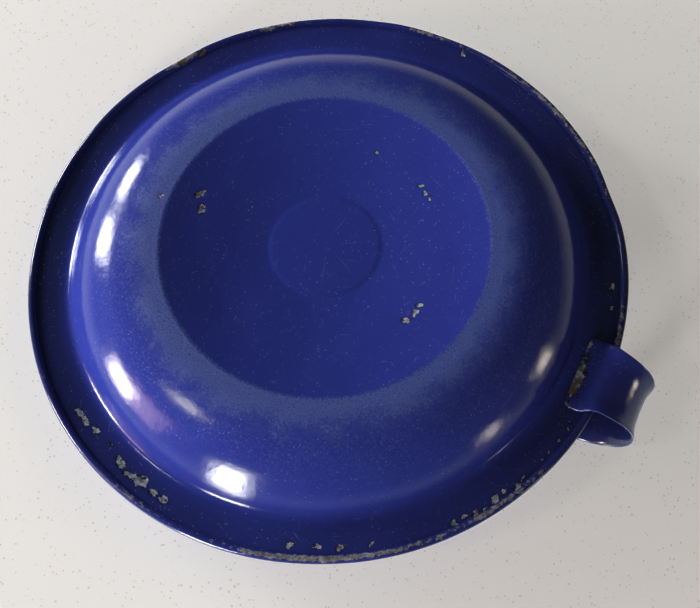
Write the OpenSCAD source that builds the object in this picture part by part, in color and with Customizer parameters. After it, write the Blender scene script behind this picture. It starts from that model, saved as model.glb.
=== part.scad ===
// Enamelled steel chamberstick: a pressed saucer, a candle socket welded to its floor
// and a strap finger loop that grips the rim. It stands on z = 0, its axis is Z and
// the finger loop points along +X. Millimetres.

/* [Dish] */
// Diameter over the rolled edge
dish_d = 165; // [160:1:220]
// Height from the table to the top of the rolled edge
rim_h = 14.5; // [13:0.5:20]
// Thickness of the enamelled sheet
sheet_t = 1.2; // [0.8:0.1:1.6]
// Outside diameter of the flat ring that the dish stands on
base_d = 94; // [92:1:98]
// Radius of the shoulder between that ring and the wall, on the outside
shoulder_r = 27; // [12:0.5:27]
// Slope of the wall, from level
wall_slope = 52; // [40:1:54]
// Radius between the wall and the flange, on the underside
fillet_r = 3; // [2:0.25:4]
// How far the flange falls towards the rim, in degrees
flange_droop = 5; // [0:0.5:8]
// Radius of the rolled edge
bead_r = 1.1; // [1:0.1:1.6]
// Diameter of the middle of the floor, which is domed upwards
dome_d = 88; // [70:1:90]
// Height of the dome above the table, at its centre
dome_h = 5.5; // [2:0.25:6]
// Depth of the flat seat pressed into the dome for the socket
seat_h = 0.25; // [0.1:0.05:0.5]

/* [Candle socket] */
// Diameter of the candle
candle_d = 22; // [18:0.5:24]
// Gap all round the candle
candle_clearance = 0.3; // [0.1:0.05:0.5]
// Height of the socket above the floor
socket_h = 18.5; // [15:0.5:22]
// Thickness of the socket's wall and foot
socket_t = 1.2; // [0.8:0.1:1.5]
// How far the foot reaches out beyond the wall
foot_w = 1.3; // [1:0.1:4]
// Radius of the rolled lip
lip_r = 0.9; // [0.7:0.1:1.2]
// Gap between the foot and the edge of its seat
seat_clearance = 0.3; // [0.1:0.05:1]

/* [Finger loop] */
// Outside diameter of the loop
loop_d = 28; // [24:0.5:32]
// Thickness of the strap
strap_t = 1.2; // [0.8:0.1:1.6]
// Width of the strap at its two ends
strap_w = 21; // [18:0.5:24]
// Width of the strap at the outermost point of the loop
waist_w = 16.5; // [12:0.5:17.5]
// How far the middle of the loop lies outside the rim; below zero it lies inside
loop_out = -2.5; // [-3:0.25:0]
// Length of the end that lies against the underside of the flange
lower_tab_l = 3; // [2:0.25:4]
// Length of the end that lies on the top of the flange
upper_tab_l = 5; // [4:0.25:6]

/* [Hidden] */
$fn = 96;

enamel_blue = "#262C86";
arc_step = 5; // degrees between the points of a drawn arc
past = 1; // how far a cutting shape runs past what it cuts

rim_r = dish_d / 2;
base_r = base_d / 2;

bore_r = candle_d / 2 + candle_clearance;
socket_r = bore_r + socket_t;
foot_r = socket_r + foot_w;
seat_r = foot_r + seat_clearance;

// The dome is a shallow arc from the centre of the floor to the resting ring.
dome_r = dome_d / 2;
dome_arc_r = (pow(dome_r, 2) + pow(dome_h, 2)) / (2 * dome_h);
dome_edge_angle = asin(dome_r / dome_arc_r);
seat_edge_angle = asin((seat_r + seat_h) / dome_arc_r);
dome_points = 6; // steps in the dome's arc
seat_z = dome_h - dome_arc_r * (1 - cos(seat_edge_angle)) - seat_h;
floor_top = seat_z + sheet_t;

// The flange falls from the fillet to the rolled edge, whose top is at rim_h.
bead_centre = [rim_r - bead_r, rim_h - bead_r];
bead_bottom = rim_h - 2 * bead_r;
function flange_top(x) = rim_h + (bead_centre.x - x) * tan(flange_droop);
function flange_under(x) = flange_top(x) - sheet_t / cos(flange_droop);

// The straight wall runs from the end of the shoulder to the start of the fillet. The
// fillet's centre lies fillet_r below the flange and fillet_r outside the wall.
shoulder_end = [base_r + shoulder_r * sin(wall_slope), shoulder_r * (1 - cos(wall_slope))];
wall_point = shoulder_end + fillet_r * [sin(wall_slope), -cos(wall_slope)];
fillet_drop = fillet_r / cos(flange_droop);
fillet_x = (flange_under(0) - fillet_drop - wall_point.y + wall_point.x * tan(wall_slope))
    / (tan(wall_slope) + tan(flange_droop));
fillet_centre = [fillet_x, flange_under(fillet_x) - fillet_drop];

loop_r = loop_d / 2;
loop_inner_r = loop_r - strap_t;
loop_centre = [rim_r + loop_out, bead_bottom + loop_inner_r];
// The strap passes right under the rolled edge, and steps up to the flange behind it.
step_w = 1.5 * strap_t;
step_x = rim_r - 2 * bead_r - strap_t / 2;
lower_tab_x = step_x - step_w - lower_tab_l;
// The upper end leaves the circle where it comes down to the top of the flange.
upper_bend_h = flange_top(loop_centre.x - loop_inner_r) + strap_t - loop_centre.y;
upper_bend_x = loop_centre.x - sqrt(pow(loop_inner_r, 2) - pow(upper_bend_h, 2));
// The ends are drawn this far into the flange and then cut to it, so that they bed on it.
bedding = 0.3;

// Points of an arc about c, from angle a to angle b
function arc(c, r, a, b, n = 0) =
    let (steps = n > 0 ? n : max(1, ceil(abs(b - a) / arc_step)))
    [for (i = [0:steps]) c + r * [cos(a + (b - a) * i / steps), sin(a + (b - a) * i / steps)]];

// The floor, from the axis to the edge of the dome, raised by lift
function floor_points(lift) = concat(
    [[0, seat_z + lift], [seat_r, seat_z + lift]],
    arc([0, dome_h - dome_arc_r + lift], dome_arc_r,
        90 - seat_edge_angle, 90 - dome_edge_angle, dome_points));

// The underside, from the axis out to the rolled edge and round it
function underside() = concat(
    floor_points(0),
    arc([base_r, shoulder_r], shoulder_r, -90, wall_slope - 90),
    arc(fillet_centre, fillet_r, 90 + wall_slope, 90 - flange_droop),
    arc(bead_centre, bead_r, 180 - flange_droop, 450 - flange_droop));

// The upper side, one sheet thickness above the underside
function upper_side() = concat(
    floor_points(sheet_t),
    arc([base_r, shoulder_r], shoulder_r - sheet_t, -90, wall_slope - 90),
    arc(fillet_centre, fillet_r + sheet_t, 90 + wall_slope, 90 - flange_droop));

function backwards(points) = [for (i = [len(points) - 1:-1:0]) points[i]];

module dish() {
    color(enamel_blue)
        rotate_extrude($fn = 180)
            polygon(concat(underside(), backwards(upper_side())));
}

module candle_socket() {
    color(enamel_blue)
        translate([0, 0, floor_top])
            difference() {
                union() {
                    cylinder(r = foot_r, h = socket_t);
                    cylinder(r = socket_r, h = socket_h);
                    translate([0, 0, socket_h - lip_r])
                        rotate_extrude()
                            translate([socket_r, 0])
                                circle(r = lip_r);
                }
                translate([0, 0, -past])
                    cylinder(r = bore_r, h = socket_h + 2 * past);
            }
}

// Side view of the strap: a ring about the rim, closed by two flat ends on the flange
module strap_side() {
    difference() {
        translate(loop_centre)
            circle(r = loop_r);
        translate(loop_centre)
            circle(r = loop_inner_r);
        // the ring is open where the flange comes in from the dish's side
        translate([loop_centre.x - 2 * loop_r, bead_bottom - strap_t - past])
            square([2 * loop_r, flange_top(upper_bend_x) - bead_bottom + strap_t + past]);
    }
    lower_end();
    upper_end();
}

// Lower end: under the rolled edge, then up a step to lie against the flange
module lower_end() {
    low = bead_bottom - strap_t;
    step_top_x = step_x - step_w;
    polygon([
        [loop_centre.x, low],
        [loop_centre.x, bead_bottom],
        [step_x + strap_t / 2, bead_bottom],
        [step_top_x, flange_under(step_top_x) + bedding],
        [lower_tab_x, flange_under(lower_tab_x) + bedding],
        [lower_tab_x, flange_under(lower_tab_x) - strap_t],
        [step_top_x, flange_under(step_top_x) - strap_t],
        [step_x, low]]);
}

// Upper end: flat on the flange, running out towards the rim
module upper_end() {
    near_x = upper_bend_x - strap_t;
    far_x = upper_bend_x + upper_tab_l;
    polygon([
        [near_x, flange_top(near_x) - bedding],
        [far_x, flange_top(far_x) - bedding],
        [far_x, flange_top(far_x) + strap_t],
        [near_x, flange_top(near_x) + strap_t]]);
}

// Plan of the strap: its width narrows to the waist at the outermost point of the loop
module strap_plan() {
    inset = (strap_w - waist_w) / 2;
    crest_x = loop_centre.x + loop_r;
    half_l = crest_x - lower_tab_x;
    hollow_r = (pow(half_l, 2) + pow(inset, 2)) / (2 * inset);
    difference() {
        translate([loop_centre.x - loop_r - past, -strap_w / 2])
            square([loop_d + 2 * past, strap_w]);
        for (side = [-1, 1])
            translate([crest_x, side * (waist_w / 2 + hollow_r)])
                circle(r = hollow_r);
    }
}

module finger_loop() {
    color(enamel_blue)
        difference() {
            intersection() {
                rotate([90, 0, 0])
                    linear_extrude(height = strap_w + 2 * past, center = true)
                        strap_side();
                translate([0, 0, bead_bottom - strap_t - past])
                    linear_extrude(height = loop_d + 2 * past)
                        strap_plan();
            }
            dish();
        }
}

dish();
candle_socket();
finger_loop();
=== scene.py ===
# %% [markdown]
# # An enamelled chamberstick, built on its CAD frame
#
# A chamberstick is a candle holder that is carried about the house: a shallow saucer catches the
# wax, a short socket stands in its middle, and a finger goes through a strap loop at the rim.
# This one is pressed from thin steel sheet, fired with cobalt-blue enamel and well used. It is
# seen lying face down on a worktop, so the underside with its worn standing ring is what shows.
#
# The CAD model gives every size. This script works out smooth, slightly used versions of its
# three pieces with numpy, gives them an enamel with its wear, and lights them.

import math
from functools import partial

import bmesh
import bpy
import numpy as np
from mathutils import Matrix, Vector


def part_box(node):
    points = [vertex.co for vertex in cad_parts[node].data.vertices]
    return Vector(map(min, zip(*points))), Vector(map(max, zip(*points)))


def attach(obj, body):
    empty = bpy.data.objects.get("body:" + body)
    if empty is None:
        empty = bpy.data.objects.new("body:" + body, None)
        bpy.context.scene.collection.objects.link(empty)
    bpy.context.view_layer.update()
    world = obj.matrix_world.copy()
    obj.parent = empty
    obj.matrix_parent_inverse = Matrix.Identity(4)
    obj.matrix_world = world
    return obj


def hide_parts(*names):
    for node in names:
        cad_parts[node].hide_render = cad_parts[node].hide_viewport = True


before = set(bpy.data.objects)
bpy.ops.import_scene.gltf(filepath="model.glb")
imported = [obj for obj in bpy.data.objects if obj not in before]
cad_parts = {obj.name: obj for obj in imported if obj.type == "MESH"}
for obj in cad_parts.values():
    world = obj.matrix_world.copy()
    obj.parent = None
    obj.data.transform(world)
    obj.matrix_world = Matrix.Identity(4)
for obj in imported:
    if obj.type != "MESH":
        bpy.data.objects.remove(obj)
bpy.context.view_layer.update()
MM = 0.001  # metres in a millimetre

# %% [markdown]
# ## Sizes
#
# The part stands on z = 0 with its axis on Z and its loop towards +X. Whatever the boxes of the
# three nodes say is read from them. The few inner sizes of the pressing that a box can't give,
# such as the radius of its shoulder, are written here in millimetres.

# %% Sizes of the pressing, the socket and the strap
dish_box, socket_box, loop_box = ([np.array(corner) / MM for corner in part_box(node)]
                                  for node in ("dish", "candle_socket", "finger_loop"))
sheet_t = 1.2       # enamelled sheet
rim_r = dish_box[1][0]
rim_h = 14.5        # top of the rolled edge
bead_r = 1.1        # rolled edge
base_r = 47.0       # outside of the ring that the dish stands on
dome_r = 44.0       # the floor inside the ring is domed up
dome_h = 5.5
seat_r = 14.1       # flat that is pressed into the dome for the socket
seat_h = 0.25
shoulder_r = 27.0
wall_slope = 52.0   # degrees
fillet_r = 3.0      # between wall and flange
flange_droop = 5.0  # degrees
flange_r = 73.6     # inner end of the flange, where the fillet stops

floor_top = socket_box[0][2]
socket_top = socket_box[1][2]
socket_bore = 11.3
strap_t = 1.2
strap_w = loop_box[1][1] - loop_box[0][1]
waist_w = 16.5
loop_r = (loop_box[1][2] - loop_box[0][2]) / 2
loop_x = loop_box[1][0] - loop_r
loop_z = loop_box[1][2] - loop_r
bead_centre = np.array([rim_r - bead_r, rim_h - bead_r])
print(f"dish {2 * rim_r:.1f} mm, loop {2 * loop_r:.1f} mm, socket top {socket_top:.1f} mm")

# %% [markdown]
# ## Helpers
#
# A turned shape needs arcs, and every surface here is a grid of points. `arc` gives points on a
# circle. `smooth` is the soft step that blends one shape into another. `skin` turns a grid of
# points into a closed mesh: the grid's first direction may be closed round, and its two ends may
# be drawn together to a pole. Numbers that a material wants at each point, such as how worn the
# enamel is, are stored as attributes on the mesh.

# %% Arcs and smooth steps


def arc(centre, radius, start, end, count):
    """Points at centre + radius * (cos a, sin a), for count angles a from start to end, in degrees."""
    a = np.radians(np.linspace(start, end, count))
    return np.stack([centre[0] + radius * np.cos(a), centre[1] + radius * np.sin(a)], axis=1)


def smooth(low, high, x):
    """0 below low, 1 above high, and 3t^2 - 2t^3 between them."""
    t = np.clip((x - low) / (high - low), 0, 1)
    return t * t * (3 - 2 * t)


def ripple(x, y, wave, seed):
    """A gentle random field of about -1 to 1: seven sines with random directions and phases."""
    draw = np.random.default_rng(seed)
    turns, phases = draw.uniform(0, 2 * np.pi, (2, 7))
    waves = wave * draw.uniform(0.6, 1.6, 7)
    return sum(np.sin(2 * np.pi * (x * np.cos(t) + y * np.sin(t)) / w + p)
               for t, p, w in zip(turns, phases, waves)) / 3


# %% A mesh from a grid of points


def skin(name, grid, ends, **fields):
    """Quads between neighbours of grid[i, j], closed round in j. At each end of i, ends says
    "pole" (that row is one point), "cap" (closed with one face) or "round" (closed round in i)."""
    rows, turns = grid.shape[:2]
    index = np.arange(rows * turns).reshape(rows, turns)
    below, above = index[:-1], index[1:]
    if ends == "round":
        below, above = index, np.roll(index, -1, axis=0)
    quads = np.stack([below, np.roll(below, -1, 1), np.roll(above, -1, 1), above], axis=-1)
    faces = quads.reshape(-1, 4).tolist()
    if ends == "cap":
        faces += [index[0][::-1].tolist(), index[-1].tolist()]
    mesh = bpy.data.meshes.new(name)
    mesh.from_pydata((grid.reshape(-1, 3) * MM).tolist(), [], faces)
    for field, values in fields.items():
        layer = mesh.attributes.new(field, "FLOAT", "POINT")
        layer.data.foreach_set("value", np.broadcast_to(values, (rows, turns)).astype(np.float32).ravel())
    close(mesh)
    piece = bpy.data.objects.new(name, mesh)
    bpy.context.scene.collection.objects.link(piece)
    print(f"{name}: {len(mesh.vertices)} points, {len(mesh.polygons)} faces")
    return piece


def close(mesh):
    """Merges the points that lie on each other, as at a pole, and turns all faces outwards."""
    work = bmesh.new()
    work.from_mesh(mesh)
    bmesh.ops.remove_doubles(work, verts=work.verts, dist=1e-7)
    bmesh.ops.recalc_face_normals(work, faces=work.faces)
    work.to_mesh(mesh)
    work.free()
    mesh.polygons.foreach_set("use_smooth", np.ones(len(mesh.polygons), bool))
    mesh.update()


# %% [markdown]
# ## The dish's section
#
# The saucer is one blank of sheet steel, pressed between dies. Going out from the axis its
# underside is a flat seat, a shallow dome, the ring that it stands on, a big round shoulder, a
# short wall, a small fillet and a flange that droops a little to the rolled edge. It could be
# modelled by subdividing a cylinder, but the section decides everything, so it is drawn as a
# line of arcs and then carried round the axis.

# %% Underside and upper side of the section
droop = math.radians(flange_droop)
slope = math.radians(wall_slope)


def flange_top(r):
    """Height of the flange's upper side: the top of the rolled edge plus the droop on the way in."""
    return rim_h + (bead_centre[0] - r) * math.tan(droop)


shoulder_end = np.array([base_r + shoulder_r * math.sin(slope), shoulder_r * (1 - math.cos(slope))])
wall_point = shoulder_end + fillet_r * np.array([math.sin(slope), -math.cos(slope)])
flange_0 = flange_top(0) - (sheet_t + fillet_r) / math.cos(droop)
fillet_x = flange_0 - wall_point[1] + wall_point[0] * math.tan(slope)
fillet_x /= math.tan(slope) + math.tan(droop)
fillet_centre = np.array([fillet_x, flange_0 - fillet_x * math.tan(droop)])


def floor_line(lift, count):
    """The seat, a step of seat_h, and the dome dome_h * (1 - (r / dome_r)^2), all raised by lift."""
    seat_z = dome_h * (1 - (seat_r / dome_r) ** 2) - seat_h
    seat = np.stack([np.linspace(0, seat_r, count // 4), np.full(count // 4, seat_z)], axis=1)
    r = np.linspace(seat_r + 0.15, dome_r, count)
    step = seat_h * (1 - smooth(seat_r, seat_r + 1.2, r))
    dome = np.stack([r, dome_h * (1 - (r / dome_r) ** 2) - step], axis=1)
    return np.vstack([seat, dome]) + [0, lift]


def pressed_line(lift, parts):
    """Ring, shoulder, wall, fillet and flange, moved lift away from the underside."""
    foot = np.stack([np.linspace(dome_r + 0.4, base_r - 0.4, parts), np.full(parts, float(lift))], axis=1)
    shoulder = arc([base_r, shoulder_r], shoulder_r - lift, -90, wall_slope - 90, 4 * parts)
    fillet = arc(fillet_centre, fillet_r + lift, 90 + wall_slope, 90 - flange_droop, 2 * parts)
    return np.vstack([foot, shoulder, fillet])


def flange_line(r0, r1, drop, count):
    """The flange from r0 to r1, drop below its upper side."""
    r = np.linspace(r0, r1, count)
    return np.stack([r, flange_top(r) - drop], axis=1)


bead = arc(bead_centre, bead_r, 180 - flange_droop, 450 - flange_droop, 16)
under = np.vstack([floor_line(0, 44), pressed_line(0, 8),
                   flange_line(flange_r, bead_centre[0] - bead_r - 0.2, sheet_t / math.cos(droop), 9)])
upper = np.vstack([floor_line(sheet_t, 20), pressed_line(sheet_t, 4),
                   flange_line(flange_r + 0.4, bead_centre[0] - 0.6, 0, 4)])
section = np.vstack([under, bead, upper[::-1]])
print(f"section: {len(under)} points under, {len(bead)} round the edge, {len(upper)} above")

# %% [markdown]
# ## Use and wear on the dish
#
# A hand-me-down is never quite round. The saucer is a little oval, its rim has flats where it
# was knocked, and its sheet has shallow waves. Chips are where a knock broke the glass off. They
# come in stretches, most of them along the flange, so each stretch is given in round numbers, to
# 5 degrees and a millimetre, and its chips are drawn along it at random. Their pits go into the
# mesh, and the same field tells the material where glass is missing.

# %% Chips and worn stretches of the underside
# turns in degrees that the stretch runs between, mm from the axis, size in mm, count, rust
chipped = [
    (170, 175, 36, 1.7, 2, 0.0), (170, 170, 46, 0.9, 1, 0.1), (-90, -90, 30, 1.2, 1, 0.5),
    (-60, -50, 31, 1.1, 3, 0.1), (10, 20, 31, 1.3, 4, 0.1), (120, 120, 52, 1.0, 1, 0.0),
    (115, 120, 77, 1.8, 3, 0.1), (95, 110, 77, 1.7, 8, 0.1), (55, 70, 78, 1.2, 4, 0.1),
    (10, 40, 79, 1.2, 14, 0.1), (0, 5, 75, 1.4, 2, 0.9), (-20, -15, 79, 1.3, 2, 0.1),
    (-85, -80, 80, 1.3, 2, 0.2),
    (145, 145, 77, 1.1, 1, 0.8), (-150, -145, 80, 1.6, 2, 0.9), (-130, -125, 81, 2.2, 3, 0.5),
]
# turn, half spread in degrees, strength: where the rolled edge is rubbed bare
rubbed_edge = [(65, 20, 1.0), (100, 10, 0.55), (130, 10, 0.4), (30, 15, 0.7), (-10, 10, 0.7),
               (-60, 25, 0.75), (-95, 10, 0.5), (-130, 5, 0.8), (-150, 5, 1.0), (180, 5, 0.4)]
# turn, half spread in degrees, depth in mm: flats knocked into the rim
rim_knocks = [(-150, 5, 0.5), (-40, 5, 0.6), (65, 10, 0.25)]
oval = 0.007        # how much the radius grows and shrinks round the rim
oval_turn = -50     # degrees
painted_shade_turn = 160     # painted shade: the flange is darkened most on this side and the opposite one
wave_h = 0.12       # waves of the sheet
pit_h = 0.2         # depth of the deepest chips


def scatter(stretches):
    """Along each stretch, count chips at even steps, shaken by a share of their size and lying
    more or less along the rim: x, y, half length, half width, turn in radians, depth, rust."""
    draw = np.random.default_rng(21)
    chips = []
    for start, end, distance, size, count, rust in stretches:
        turn = np.radians(np.linspace(start, end, count)) + draw.normal(0, 0.4 * size / distance, count)
        r = distance + draw.normal(0, 0.35 * size, count)
        half_l = size * draw.uniform(0.6, 1.2, count)
        half_w = half_l * draw.uniform(0.4, 0.8, count)
        lie = turn + math.pi / 2 + draw.normal(0, 0.5, count)
        depth = np.minimum(0.1 * half_l, pit_h)
        chips += zip(r * np.cos(turn), r * np.sin(turn), half_l, half_w, lie, depth, [rust] * count)
    return chips


chips = scatter(chipped)
print(f"{len(chips)} chips, {len(rubbed_edge)} rubbed stretches, {len(rim_knocks)} flats")

# %% The dish, carried round the axis


def pits(x, y):
    """For each point, the strongest chip near it, exp(-(u^2 + v^2)) of the distance in half lengths
    and half widths, with that chip's rust, and the depth of all pits together."""
    strength, rust, depth = np.zeros_like(x), np.zeros_like(x), np.zeros_like(x)
    for chip_x, chip_y, half_l, half_w, lie, deep, rusty in chips:
        c, s = math.cos(lie), math.sin(lie)
        u = ((x - chip_x) * c + (y - chip_y) * s) / half_l
        v = ((y - chip_y) * c - (x - chip_x) * s) / half_w
        here = np.exp(-(u * u + v * v))
        rust = np.where(here > strength, rusty, rust)
        strength = np.maximum(strength, here)
        depth += deep * smooth(0.35, 0.8, here)
    return strength, rust, depth


def round_the_rim(angle, stretches):
    """Sum of strength * exp(-(angle difference / half spread)^2) over the stretches."""
    return sum(strength * np.exp(-(((angle - middle + 180) % 360 - 180) / spread) ** 2)
               for middle, spread, strength in stretches)


def make_dish():
    """Point (r, z) of the section goes to (r cos a, r sin a, z). The radius is stretched by an oval
    and pulled in at the knocks near the rim, and pits go up into the underside."""
    turns = 500
    a = np.linspace(0, 2 * np.pi, turns, endpoint=False)[None, :]
    r, z = section[:, :1], section[:, 1:]
    degrees = np.degrees(a)
    is_under = np.where(np.arange(len(section))[:, None] < len(under) + len(bead) // 2, 1.0, 0.0)
    near_rim = smooth(66, rim_r, r)
    stretch = 1 + oval * np.cos(2 * (a - math.radians(oval_turn)))
    radius = r * stretch - near_rim * round_the_rim(degrees, rim_knocks)
    x, y = radius * np.cos(a), radius * np.sin(a)
    strength, rust, depth = pits(x, y)
    off_ring = smooth(seat_r, 30, r) * smooth(40, 30, r) + smooth(48, 60, r)
    wave = wave_h * (off_ring * ripple(x, y, 45, 3) + near_rim * ripple(x, y, 24, 5))
    pit = is_under * depth * smooth(rim_r - 0.2, rim_r - 1.6, r)
    grid = np.stack([x, y, z + wave + pit], axis=-1)
    edge = np.exp(-((r - rim_r + 1.3) / 0.95) ** 2) * round_the_rim(degrees, rubbed_edge)
    # Painted shade: the flange is darkened all round, and most on two opposite sides.
    thin = smooth(70, 76, r) * (0.35 + 0.45 * np.cos(a - math.radians(painted_shade_turn)) ** 2)
    return skin("enamelled_dish", grid, "pole", underside=is_under, chips=strength * is_under,
                rust=rust, rubbed=edge, thin_coat=thin)


dish = make_dish()
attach(dish, "root")
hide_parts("dish")

# %% [markdown]
# ## The candle socket
#
# The socket is a short drawn tube with a rolled lip and a small foot that is welded to the
# floor. It is hollow right through, so its section is a closed loop of points, and it is
# carried round the axis as the dish was. Drawing the fillets into the section keeps them
# smooth where a bevel on a cylinder would need many levels.

# %% The socket's section and surface


def make_socket():
    """Closed section: foot, fillet, tube, lip rolled outwards, bore, each a line or an arc."""
    foot_curl, fillet, mouth = 0.55, 1.0, 0.6
    outer = socket_bore + sheet_t
    foot_r = socket_box[1][0]
    lip = foot_r - outer - 0.35
    foot_top = floor_top + sheet_t
    wall = np.linspace(foot_top + 1.2, socket_top - 2 * lip - 0.3, 14)
    bore = np.linspace(socket_top - mouth, floor_top, 22)
    line = np.vstack([
        [[socket_bore, floor_top]],
        arc([foot_r - foot_curl, floor_top + foot_curl], foot_curl, -90, 60, 9),
        arc([outer + fillet, foot_top + fillet], fillet, -90, -180, 7),
        np.stack([np.full(14, outer), wall], axis=1),
        arc([outer, socket_top - lip], lip, -80, 90, 13),
        arc([socket_bore + mouth, socket_top - mouth], mouth, 90, 180, 6),
        np.stack([np.full(22, socket_bore), bore], axis=1)[1:-1],
    ])
    a = np.linspace(0, 2 * np.pi, 240, endpoint=False)[None, :]
    r, z = line[:, :1], line[:, 1:]
    out = 1 + 0.006 * np.cos(2 * a + 0.6) * smooth(floor_top, socket_top, z)
    grid = np.stack([r * out * np.cos(a), r * out * np.sin(a), z + 0 * a], axis=-1)
    rubbed = 0.8 * smooth(socket_top - 0.7, socket_top - 0.1, z) + 0 * a
    return skin("candle_socket_tube", grid, "round", rubbed=rubbed)


socket = make_socket()
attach(socket, "root")
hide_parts("candle_socket")

# %% [markdown]
# ## The finger loop
#
# The handle is one strip of sheet bent into a ring round the rim. Its lower end lies under the
# flange, steps down under the rolled edge, and the strip then goes round and comes back to lie
# on top of the flange. It narrows to a waist at the far side, and its two edges flare outwards
# so that they don't cut the finger. A curve with a bevel profile can't change its width and its
# hollow on the way, so the strip is a cross-section carried along its side view.

# %% Side view of the strip
edge_flare = 1.5    # how far the two edges stand out from the finger
end_round = 1.4     # rounded corners of the strip's ends
strap_wave = 0.12   # unevenness of the hand-bent strip
side = loop_r - strap_t / 2
bend_h = flange_top(loop_x - side) + strap_t / 2 - loop_z
upper_turn = 180 + math.degrees(math.asin(-bend_h / side))
upper_x = loop_x + side * math.cos(math.radians(upper_turn))
under_drop = sheet_t / math.cos(droop) + strap_t / 2 + 0.03
step_end = bead_centre[0] - bead_r - 0.2
side_view = np.vstack([
    flange_line(flange_r + 0.3, step_end - 2.2, under_drop, 8),
    [[step_end - 0.4, loop_z - side + 0.35], [step_end + 0.5, loop_z - side]],
    arc([loop_x, loop_z], side, -84, upper_turn - 4, 60),
    flange_line(upper_x + 1.2, upper_x + 5.0, -strap_t / 2 - 0.03, 8),
])
print(f"strip leaves its ring at {upper_turn:.0f} degrees, x = {upper_x:.1f} mm")

# %% The strip, carried along its side view


def even(line, count, soften):
    """The line with count points at equal steps, averaged with its neighbours soften times."""
    along = np.append(0, np.cumsum(np.linalg.norm(np.diff(line, axis=0), axis=1)))
    steps = np.linspace(0, along[-1], count)
    line = np.stack([np.interp(steps, along, line[:, k]) for k in (0, 1)], axis=1)
    for _ in range(soften):
        line[1:-1] = (line[:-2] + 2 * line[1:-1] + line[2:]) / 4
    return line, steps


def make_loop():
    """At each point of the side view the section is a rounded strip. With t going once round it,
    y = half width * |cos t|^0.35 and the offset along the outward normal is half thickness *
    |sin t|^0.8, both with their signs, plus the flare of the edges. The strip is narrowest at
    the far side: half width = half strap - (half strap - half waist) * cos^2(angle / 2)."""
    rows, turns = 260, 64
    line, along = even(side_view, rows, 6)
    ahead = np.gradient(line, axis=0)
    ahead /= np.linalg.norm(ahead, axis=1)[:, None]
    out = np.stack([ahead[:, 1], -ahead[:, 0]], axis=1)
    from_crest = np.arctan2(line[:, 1] - loop_z, line[:, 0] - loop_x)
    on_ring = smooth(4.2, 9.0, np.minimum(along, along[-1] - along - 2.0))
    narrowed = (strap_w - waist_w) / 2 * np.cos(from_crest / 2) ** 2
    half_w = strap_w / 2 - 0.1 * (1 - on_ring) - narrowed * on_ring
    ends = np.minimum(along, along[-1] - along)
    half_w -= end_round * (1 - np.sqrt(np.clip(ends / end_round, 0, 1)))
    taper = 0.35 + 0.65 * np.sqrt(np.clip(ends / 0.6, 0, 1))
    t = np.linspace(0, 2 * np.pi, turns, endpoint=False)
    across = np.sign(np.cos(t)) * np.abs(np.cos(t)) ** 0.35
    through = np.sign(np.sin(t)) * np.abs(np.sin(t)) ** 0.8
    y = half_w[:, None] * across
    flare = edge_flare * on_ring[:, None] * np.abs(across) ** 3
    n = (strap_t / 2) * taper[:, None] * through * (1 + 0.45 * np.abs(across) ** 10) + flare
    x = line[:, :1] + out[:, :1] * n
    z = line[:, 1:] + out[:, 1:] * n + strap_wave * on_ring[:, None] * ripple(x, y, 16, 8)
    grid = np.stack([x, y + 1.25 * strap_wave * on_ring[:, None] * ripple(z, x, 20, 9), z], axis=-1)
    edge = np.abs(across) ** 12 * (0.25 + 0.5 * smooth(0.2, 1, ripple(z, x, 9, 4)))
    end_wear = smooth(2.0, 0.3, along)[:, None] * (0.6 + 0.4 * ripple(y, x, 7, 6))
    rusty_end = np.exp(-((along[:, None] - 0.6) / 2.2) ** 2) * (0.5 + 0.5 * ripple(y, x, 11, 7))
    thin = 0.25 + 0.55 * smooth(0.3, -0.3, through)  # painted shade: darker inside the ring
    return skin("finger_loop_strap", grid, "cap", chips=0.75 * np.clip(rusty_end, 0, 1), rust=0.6,
                rubbed=np.maximum(edge, end_wear), thin_coat=thin)


strap = make_loop()
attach(strap, "root")
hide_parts("finger_loop")

# %% [markdown]
# ## Cobalt enamel on steel
#
# Vitreous enamel is glass that is fired onto the sheet at about 800 degrees: a dark ground coat
# that grips the steel, then the coloured coat. To the eye it is a deep even blue under a hard
# gloss with a faint orange peel. Glass has an IOR of 1.5, so one clear dielectric layer gives
# the right gloss, and no separate coat is needed. Everything that wear does is mixed into that
# one material by masks: the standing ring is ground matt, the rubbed edge is bare and brown,
# chips have a dark rim and a grey or rusty floor, and dust and fine scratches lie over the blue.
# Painted shade darkens the flange and the inside of the loop.

# %% Colours and nodes


def linear(code):
    """Linear RGBA of an sRGB hex code: c / 12.92 below 0.04045, else ((c + 0.055) / 1.055) ^ 2.4."""
    c = np.array([int(code[k:k + 2], 16) for k in (1, 3, 5)]) / 255
    c = np.where(c < 0.04045, c / 12.92, ((c + 0.055) / 1.055) ** 2.4)
    return (*c.tolist(), 1.0)


def add(tree, kind, inputs=None, **settings):
    """Adds a node, sets its options, and gives each input a value or a link. A link comes from
    a socket, or from the first output of a node."""
    node = tree.nodes.new("ShaderNode" + kind)
    for name, value in settings.items():
        setattr(node, name, value)
    for name, value in (inputs or {}).items():
        if isinstance(value, bpy.types.Node):
            value = value.outputs[0]
        if isinstance(value, bpy.types.NodeSocket):
            tree.links.new(value, node.inputs[name])
        else:
            node.inputs[name].default_value = value
    return node


def per_mm(size):
    """Texture scale whose features are about size millimetres, for coordinates in metres."""
    return 1 / (size * MM)


def new_material(name):
    """An empty node material, its tree and its output node."""
    material = bpy.data.materials.new(name)
    material.use_nodes = True
    material.node_tree.nodes.clear()
    return material, material.node_tree, add(material.node_tree, "OutputMaterial")


# %% Masks of wear: the ground ring and the haze round it


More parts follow.
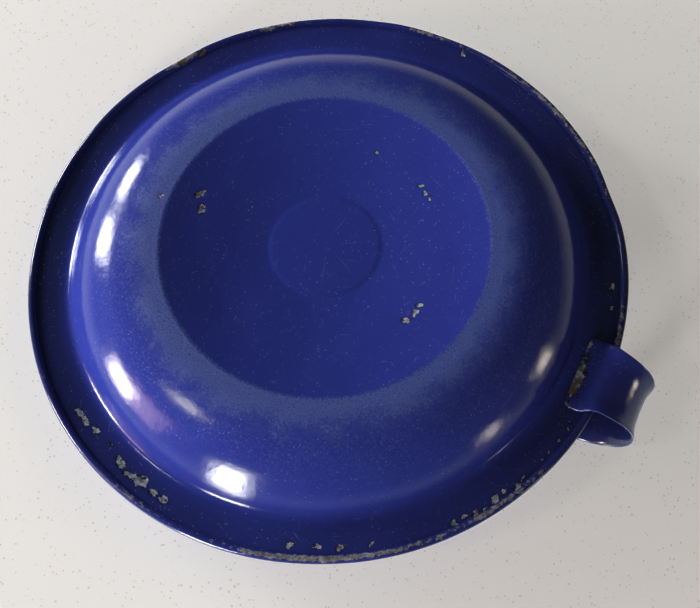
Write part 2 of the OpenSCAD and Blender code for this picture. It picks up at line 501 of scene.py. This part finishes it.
def ring_masks(tree, place, fine, coarse):
    """Ring: between two circles whose radius noise makes ragged, thinned by a fine speckle.
    Haze: scuffs outside it, fading in and out with the radius. Both on the underside only.
    Limits are in mm from the axis, plus half of what the noise can add to the radius."""
    node = partial(add, tree)
    underside = node("Attribute", attribute_name="underside").outputs["Fac"]
    flat = node("Mapping", {"Vector": place, "Scale": (1 / MM, 1 / MM, 0)})
    radius = node("VectorMath", {0: flat}, operation="LENGTH").outputs["Value"]
    inner = node("Math", {0: fine, 1: 2.4, 2: radius}, operation="MULTIPLY_ADD")
    inner = node("MapRange", {"Value": inner, "From Min": 44.5, "From Max": 45.7})
    outer = node("Math", {0: fine, 1: 9.0, 2: radius}, operation="MULTIPLY_ADD")
    outer = node("Math", {0: coarse, 1: 14.0, 2: outer}, operation="MULTIPLY_ADD")
    outer = node("MapRange", {"Value": outer, "From Min": 66.0, "From Max": 59.5})
    speckle = node("TexNoise", {"Vector": place, "Scale": per_mm(0.5), "Detail": 3.0})
    speckle = node("MapRange", {"Value": speckle, "From Min": 0.36, "From Max": 0.56, "To Min": 0.45})
    ring = node("Math", {0: inner, 1: outer}, operation="MULTIPLY")
    ring = node("Math", {0: ring, 1: speckle}, operation="MULTIPLY")
    ring = node("Math", {0: ring, 1: underside}, operation="MULTIPLY")
    begins = node("MapRange", {"Value": radius, "From Min": 42.0, "From Max": 52.0})
    fades = node("MapRange", {"Value": radius, "From Min": 68.0, "From Max": 58.0})
    scuffs = node("TexNoise", {"Vector": place, "Scale": per_mm(0.6), "Detail": 4.0, "Roughness": 0.7})
    scuffs = node("MapRange", {"Value": scuffs, "From Min": 0.5, "From Max": 0.7, "To Max": 0.5})
    haze = node("Math", {0: begins, 1: fades}, operation="MULTIPLY")
    haze = node("Math", {0: haze, 1: scuffs}, operation="MULTIPLY")
    haze = node("Math", {0: haze, 1: underside}, operation="MULTIPLY")
    return ring, haze


# %% Masks of wear: missing glass, rust and the rubbed edge


def chip_masks(tree, place):
    """Missing glass and its dark rim are two thresholds of the chip field plus noise, so the rim
    runs round the gap. Rust and the rubbed edge are fields plus noise too, each over a threshold.
    A threshold includes half of what the noise can add."""
    node = partial(add, tree)
    chip, rust, rubbed = (node("Attribute", attribute_name=name).outputs["Fac"]
                          for name in ("chips", "rust", "rubbed"))
    crumble = node("TexNoise", {"Vector": place, "Scale": per_mm(1.0), "Detail": 6.0, "Roughness": 0.75})
    broken = node("Math", {0: crumble, 1: 1.8, 2: chip}, operation="MULTIPLY_ADD")
    near = node("MapRange", {"Value": chip, "From Min": 0.04, "From Max": 0.2})
    broken = node("Math", {0: broken, 1: near}, operation="MULTIPLY")
    missing = node("MapRange", {"Value": broken, "From Min": 1.4, "From Max": 1.52})
    rim = node("MapRange", {"Value": broken, "From Min": 1.2, "From Max": 1.35})
    patches = node("TexNoise", {"Vector": place, "Scale": per_mm(1.8), "Detail": 4.0})
    rusty = node("Math", {0: patches, 1: 1.6, 2: rust}, operation="MULTIPLY_ADD")
    rusty = node("MapRange", {"Value": rusty, "From Min": 1.2, "From Max": 1.5})
    fray = node("TexNoise", {"Vector": place, "Scale": per_mm(1.6), "Detail": 6.0, "Roughness": 0.7})
    worn = node("Math", {0: fray, 1: 2.0, 2: rubbed}, operation="MULTIPLY_ADD")
    worn = node("MapRange", {"Value": worn, "From Min": 1.52, "From Max": 1.66})
    near = node("MapRange", {"Value": rubbed, "From Min": 0.03, "From Max": 0.12})
    worn = node("Math", {0: worn, 1: near}, operation="MULTIPLY")
    return missing, rim, rusty, worn


# %% Masks of wear: scratches and dust


def dust_masks(tree, place, coarse):
    """Scratches: noise drawn out 24 times along four directions. Specks: the middles of small
    cells, in patches."""
    node = partial(add, tree)
    scratch = 0.0
    for turn in (0.2, 1.1, 2.0, 2.8):
        streaks = node("Mapping", {"Vector": place, "Rotation": (0, 0, turn), "Scale": (1, 24, 1)},
                       vector_type="TEXTURE")
        streaks = node("TexNoise", {"Vector": streaks, "Scale": per_mm(0.4), "Detail": 1.0})
        streaks = node("MapRange", {"Value": streaks, "From Min": 0.74, "From Max": 0.8, "To Max": 0.3})
        scratch = node("Math", {0: scratch, 1: streaks}, operation="MAXIMUM")
    grain = node("TexVoronoi", {"Vector": place, "Scale": per_mm(1.3)})
    grain = node("MapRange", {"Value": grain, "From Min": 0.14, "From Max": 0.06, "To Max": 0.6})
    patches = node("MapRange", {"Value": coarse, "From Min": 0.35, "From Max": 0.65})
    return scratch, node("Math", {0: grain, 1: patches}, operation="MULTIPLY")


# %% The enamel itself


def cobalt_enamel():
    """Cobalt vitreous enamel, glossy where whole. Colours and roughness are mixed in the order in
    which the layers lie: blue coat, painted shade on the flange and inside the loop, ground ring, dust,
    rubbed edge, then chips down to the steel."""
    material, tree, output = new_material("cobalt_vitreous_enamel")
    node = partial(add, tree)
    place = node("TexCoord").outputs["Object"]
    fine = node("TexNoise", {"Vector": place, "Scale": per_mm(1.0), "Detail": 6.0, "Roughness": 0.7})
    coarse = node("TexNoise", {"Vector": place, "Scale": per_mm(9.0), "Detail": 3.0, "Roughness": 0.6})
    thin = node("Attribute", attribute_name="thin_coat").outputs["Fac"]
    ring, haze = ring_masks(tree, place, fine, coarse)
    missing, rim, rusty, worn = chip_masks(tree, place)
    scratch, specks = dust_masks(tree, place, coarse)

    grit = node("MapRange", {"Value": fine, "From Min": 0.36, "From Max": 0.64})
    blue = node("MixRGB", {"Fac": coarse, "Color1": linear("#222B76"), "Color2": linear("#293380")})
    brown_steel = node("MixRGB", {"Fac": coarse, "Color1": linear("#7A6E5E"), "Color2": linear("#8C929C")})
    bare = node("MixRGB", {"Fac": grit, "Color1": linear("#2A2A30"), "Color2": brown_steel})
    steel = node("MixRGB", {"Fac": grit, "Color1": linear("#2C3350"), "Color2": linear("#9AA0A6")})
    chip_floor = node("MixRGB", {"Fac": rusty, "Color1": steel, "Color2": linear("#46351F")})
    # The first layer is painted shade: near-black blue over the flange and inside the loop.
    layers = [(thin, linear("#171A30")), (ring, linear("#414E86")), (haze, linear("#4A5690")),
              (scratch, linear("#6872A8")), (specks, linear("#8C96C0")), (worn, bare),
              (rim, linear("#10121C")), (missing, chip_floor)]
    colour = blue
    for cover, layer in layers:
        colour = node("MixRGB", {"Fac": cover, "Color1": colour, "Color2": layer})
    rough = node("Math", {0: fine, 1: 0.08, 2: 0.07}, operation="MULTIPLY_ADD")
    for cover, roughness in ((haze, 0.45), (ring, 0.46), (worn, 0.5), (missing, 0.75)):
        rough = node("Mix", {0: cover, 2: rough, 3: roughness})

    peel = node("TexNoise", {"Vector": place, "Scale": per_mm(3.2), "Detail": 2.0})
    surface = node("Bump", {"Height": peel, "Distance": 0.05 * MM})
    surface = node("Bump", {"Height": fine, "Distance": 0.03 * MM, "Normal": surface})
    surface = node("Bump", {"Height": missing, "Distance": 0.12 * MM, "Normal": surface}, invert=True)
    shader = node("BsdfPrincipled", {"Base Color": colour, "Roughness": rough, "IOR": 1.5,
                                     "Normal": surface})
    tree.links.new(shader.outputs[0], output.inputs[0])
    return material


enamel = cobalt_enamel()
for piece in (dish, socket, strap):
    piece.data.materials.append(enamel)
print("enamel:", len(enamel.node_tree.nodes), "nodes")

# %% [markdown]
# ## Floor and worktop
#
# The part stands the right way up on the floor, z = 0, for anyone who looks from above. The
# main camera looks from beneath, and sees it as it lies face down: what it rests on is then a
# worktop just clear of the top of the rim and of the loop. Both are sheets that show on one side
# only, so that each is there for the views on its own side and never hides the part from the
# others. They cast no shadow on the part and show in no reflection of it.

# %% One-sided stage sheets


def stage_sheet(name, origin, along, across, material):
    """A flat sheet through origin, spanned by two directions, facing along x across."""
    half = 3.0  # metres
    along, across = (Vector(v).normalized() * half for v in (along, across))
    signs = ((-1, -1), (1, -1), (1, 1), (-1, 1))
    corners = [Vector(origin) + one * along + other * across for one, other in signs]
    mesh = bpy.data.meshes.new(name)
    mesh.from_pydata([tuple(c) for c in corners], [], [(0, 1, 2, 3)])
    mesh.materials.append(material)
    sheet = bpy.data.objects.new(name, mesh)
    bpy.context.scene.collection.objects.link(sheet)
    sheet.visible_shadow = sheet.visible_diffuse = sheet.visible_glossy = False
    return sheet


def one_sided(name, base, speck, speck_size, amount, glow):
    """A matt surface with sparse specks, clear from behind. A little glow stands for the light
    that a whole room would throw back on it."""
    material, tree, output = new_material(name)
    node = partial(add, tree)
    place = node("TexCoord").outputs["Object"]
    grain = node("TexVoronoi", {"Vector": place, "Scale": per_mm(speck_size)})
    clump = node("TexNoise", {"Vector": place, "Scale": per_mm(4 * speck_size)})
    grain = node("Math", {0: grain, 1: clump}, operation="DIVIDE")
    spots = node("MapRange", {"Value": grain, "From Min": 0.42, "From Max": 0.22, "To Max": amount})
    colour = node("MixRGB", {"Fac": spots, "Color1": linear(base), "Color2": linear(speck)})
    matt = node("BsdfDiffuse", {"Color": colour})
    shine = node("Emission", {"Color": colour, "Strength": glow})
    surface = node("AddShader", {0: matt, 1: shine})
    clear = node("BsdfTransparent")
    behind = node("NewGeometry").outputs["Backfacing"]
    shader = node("MixShader", {"Fac": behind, 1: surface, 2: clear})
    tree.links.new(shader.outputs[0], output.inputs[0])
    return material


rest_angle = math.atan2(loop_z - bead_centre[1], loop_x + bead_centre[0]) + math.asin(
    (loop_r - bead_r) / math.hypot(loop_x + bead_centre[0], loop_z - bead_centre[1]))
rest_gap = 0.9  # clear of the loop's flared edges and of the uneven rim
rest_normal = np.array([-math.sin(rest_angle), 0, math.cos(rest_angle)])
rest_point = np.array([loop_x, 0, loop_z]) + rest_normal * (loop_r + rest_gap)
floor = stage_sheet("floor", (0, 0, -0.0002), (1, 0, 0), (0, 1, 0),
                    one_sided("pale_floor", "#E4E4E2", "#D8D8D6", 2.0, 0.5, 0.05))
worktop = stage_sheet("worktop", rest_point * MM, (0, 1, 0), (rest_normal[2], 0, -rest_normal[0]),
                      one_sided("speckled_white_worktop", "#EDECE8", "#A8A298", 1.7, 0.45, 0.27))
print(f"the worktop leans {math.degrees(rest_angle):.1f} degrees")

# %% [markdown]
# ## Camera and light
#
# The camera looks at the underside from close by, leaning towards the loop's side, and is
# almost upside down against the part's own +Z, as it would be if a person looked down at the
# dish lying on its face. Daylight comes in low through windows, mostly from one side, so the
# round shoulder catches a few bright panes while the floor of the dish stays dark. Each window
# is placed by its compass angle in the plane of the table, its height above it and its size.

# %% Camera
camera = bpy.data.objects.new("camera", bpy.data.cameras.new("camera"))
bpy.context.scene.collection.objects.link(camera)
bpy.context.scene.camera = camera
camera.data.lens = 46.3
camera.data.clip_start = 0.01
azimuth, elevation, roll = (math.radians(angle) for angle in (149.8, -68.1, 176.0))
back = Vector((math.sin(azimuth) * math.cos(elevation), -math.cos(azimuth) * math.cos(elevation),
               math.sin(elevation)))
aim = Vector((11.8, 9.2, 13.4)) * MM
distance = 245 * MM
level = (-back).cross(Vector((0, 0, 1))).normalized()
raised = level.cross(-back)
right = math.cos(roll) * level + math.sin(roll) * raised
view_up = math.cos(roll) * raised - math.sin(roll) * level
camera.matrix_world = Matrix.Translation(aim + distance * back) @ Matrix(
    (right, view_up, back)).transposed().to_4x4()
print("camera at", [round(v / MM, 1) for v in camera.matrix_world.translation], "mm")

# %% Windows below the table plane, softboxes above it


def daylight(name, turn, height, wide, tall, brightness, warmth="#FFFFFF", distance=1.2):
    """A rectangular light at the given compass turn and height in degrees, wide and tall in degrees
    as seen from the part, which it faces from distance metres. Its power is 4 * area * brightness."""
    lamp = bpy.data.lights.new(name, "AREA")
    lamp.shape = "RECTANGLE"
    lamp.size = 2 * distance * math.tan(math.radians(wide / 2))
    lamp.size_y = 2 * distance * math.tan(math.radians(tall / 2))
    lamp.energy = 4 * lamp.size * lamp.size_y * brightness
    lamp.color = linear(warmth)[:3]
    light = bpy.data.objects.new(name, lamp)
    bpy.context.scene.collection.objects.link(light)
    t, h = math.radians(turn), math.radians(height)
    towards = Vector((math.cos(t) * math.cos(h), math.sin(t) * math.cos(h), math.sin(h)))
    side_way = Vector((-math.sin(t), math.cos(t), 0))
    light.matrix_world = Matrix.Translation(towards * distance) @ Matrix(
        (side_way, towards.cross(side_way), towards)).transposed().to_4x4()
    return light


windows = [
    ("window_upper_left", -165, -15, 7, 15, 30, "#F4F8FF"),
    ("window_far_left", 180, -15, 8, 18, 30, "#F4F8FF"),
    ("window_left", 140, -10, 11, 15, 30, "#FFF6F8"),
    ("window_lower_left", 95, -5, 11, 25, 30, "#FBFCFF"),
    ("ceiling_lamp", 130, -50, 4, 4, 30, "#FFFDE8"),
    ("window_right", -15, -5, 4, 10, 12, "#FFF3E2"),
    ("window_lower_right", 10, -5, 4, 10, 8, "#FFF3E2"),
    ("curtain_left", 130, -15, 17, 22, 3.4, "#FFD0DA"),
    ("soft_daylight", 170, -20, 40, 14, 10, "#FAFBFF"),
    ("warm_fill", -15, -25, 40, 20, 1.1, "#FFE0B4"),
]
softboxes = [
    ("softbox_key", -120, 48, 42, 34, 3.0, "#FFFDF8"),
    ("softbox_fill", 20, 55, 30, 30, 1.4, "#F6F9FF"),
    ("softbox_back", 110, 30, 26, 20, 2.4, "#FFFFFF"),
]
lights = {values[0]: daylight(*values) for values in windows + softboxes}
for name in ("soft_daylight", "warm_fill"):
    lights[name].visible_glossy = False  # these two only brighten, the others also shine back
print(len(lights), "lights")

# %% World: a pale room above the table plane, a dim ceiling below it
world = bpy.data.worlds.new("room")
bpy.context.scene.world = world
world.use_nodes = True
world.node_tree.nodes.clear()
node = partial(add, world.node_tree)
room_output = node("OutputWorld")
direction = node("TexCoord").outputs["Generated"]
height = node("SeparateXYZ", {0: direction}).outputs["Z"]
above = node("MapRange", {"Value": height, "From Min": -0.15, "From Max": 0.1})
sunny = node("VectorMath", {0: direction, 1: (-0.98, 0.2, 0)}, operation="DOT_PRODUCT").outputs["Value"]
sunny = node("MapRange", {"Value": sunny, "From Min": 0.1, "From Max": 0.9})
lit = node("MixRGB", {"Fac": sunny, "Color1": linear("#A9AAA9"), "Color2": linear("#F2F4F6")})
tint = node("MixRGB", {"Fac": above, "Color1": linear("#3C3E42"), "Color2": lit})
room = node("Background", {"Color": tint})
world.node_tree.links.new(room.outputs[0], room_output.inputs[0])
bpy.context.scene.view_settings.view_transform = "Standard"
